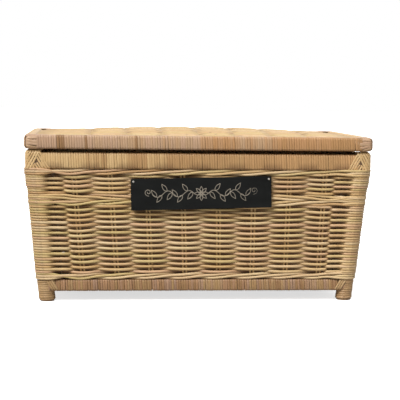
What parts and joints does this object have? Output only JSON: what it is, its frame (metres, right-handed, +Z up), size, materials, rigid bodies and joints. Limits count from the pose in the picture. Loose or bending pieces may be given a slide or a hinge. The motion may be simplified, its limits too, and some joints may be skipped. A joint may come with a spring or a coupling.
{
  "type": "wicker storage trunk",
  "caption": "Rectangular woven storage trunk on four corner posts, flared towards a wrapped rim, with a slightly domed woven lid hinged at the back and a small slate plate on the front.",
  "frame": {"origin": "on the floor, under the middle of the lid", "axes": "+X along the trunk's width to the right as seen from the front, +Y towards the hinged back, +Z up"},
  "size_m": [0.8, 0.45, 0.398],
  "materials": {
    "willow": "dry buff willow, matt with a slight skin sheen",
    "stake": "dry buff willow, matt",
    "rim_peel": "split peel, satin honey",
    "lid_peel": "split peel, satin pinkish brown",
    "base_peel": "split peel, satin brown",
    "pole": "bare turned pole and sawn lath",
    "slate": "honed slate, matt",
    "nail": "bright wire nail",
    "steel": "dull zinc-plated steel"
  },
  "bodies": {
    "trunk": {"base_crossbar_left": "pole", "base_crossbar_right": "pole", "base_rail_front": "pole", "base_rail_left": "pole", "base_rail_rear": "pole", "base_rail_right": "pole", "base_ribs": "stake", "base_weave": "willow", "base_wrap_front": "base_peel", "base_wrap_left": "base_peel", "base_wrap_rear": "base_peel", "base_wrap_right": "base_peel", "body_hinge_screws": "steel", "corner_post_front_left": "pole", "corner_post_front_right": "pole", "corner_post_rear_left": "pole", "corner_post_rear_right": "pole", "corner_weave_front_left": "willow", "corner_weave_front_right": "willow", "corner_weave_rear_left": "willow", "corner_weave_rear_right": "willow", "foot_wraps": "base_peel", "hinge_left_body_leaf": "steel", "hinge_pins": "steel", "hinge_right_body_leaf": "steel", "name_plate": "slate", "plate_nails": "nail", "rim_corner_bindings": "rim_peel", "rim_rail_front": "pole", "rim_rail_left": "pole", "rim_rail_rear": "pole", "rim_rail_right": "pole", "rim_wrap_front": "rim_peel", "rim_wrap_left": "rim_peel", "rim_wrap_rear": "rim_peel", "rim_wrap_right": "rim_peel", "wall_stakes_front": "stake", "wall_stakes_left": "stake", "wall_stakes_rear": "stake", "wall_stakes_right": "stake", "wall_weave_front": "willow", "wall_weave_left": "willow", "wall_weave_rear": "willow", "wall_weave_right": "willow"},
    "lid": {"hinge_left_lid_leaf": "steel", "hinge_right_lid_leaf": "steel", "lid_corner_bindings": "lid_peel", "lid_hinge_screws": "steel", "lid_rail_front": "pole", "lid_rail_left": "pole", "lid_rail_rear": "pole", "lid_rail_right": "pole", "lid_ribs": "stake", "lid_weave": "willow", "lid_wrap_front": "lid_peel", "lid_wrap_left": "lid_peel", "lid_wrap_rear": "lid_peel", "lid_wrap_right": "lid_peel"}
  },
  "joints": [
    {"name": "lid_hinge", "type": "hinge", "parent": "trunk", "child": "lid", "pos_m": [0, 0.217, 0.34925], "axis": [-1, 0, 0], "range_deg": [0, 105]}
  ]
}
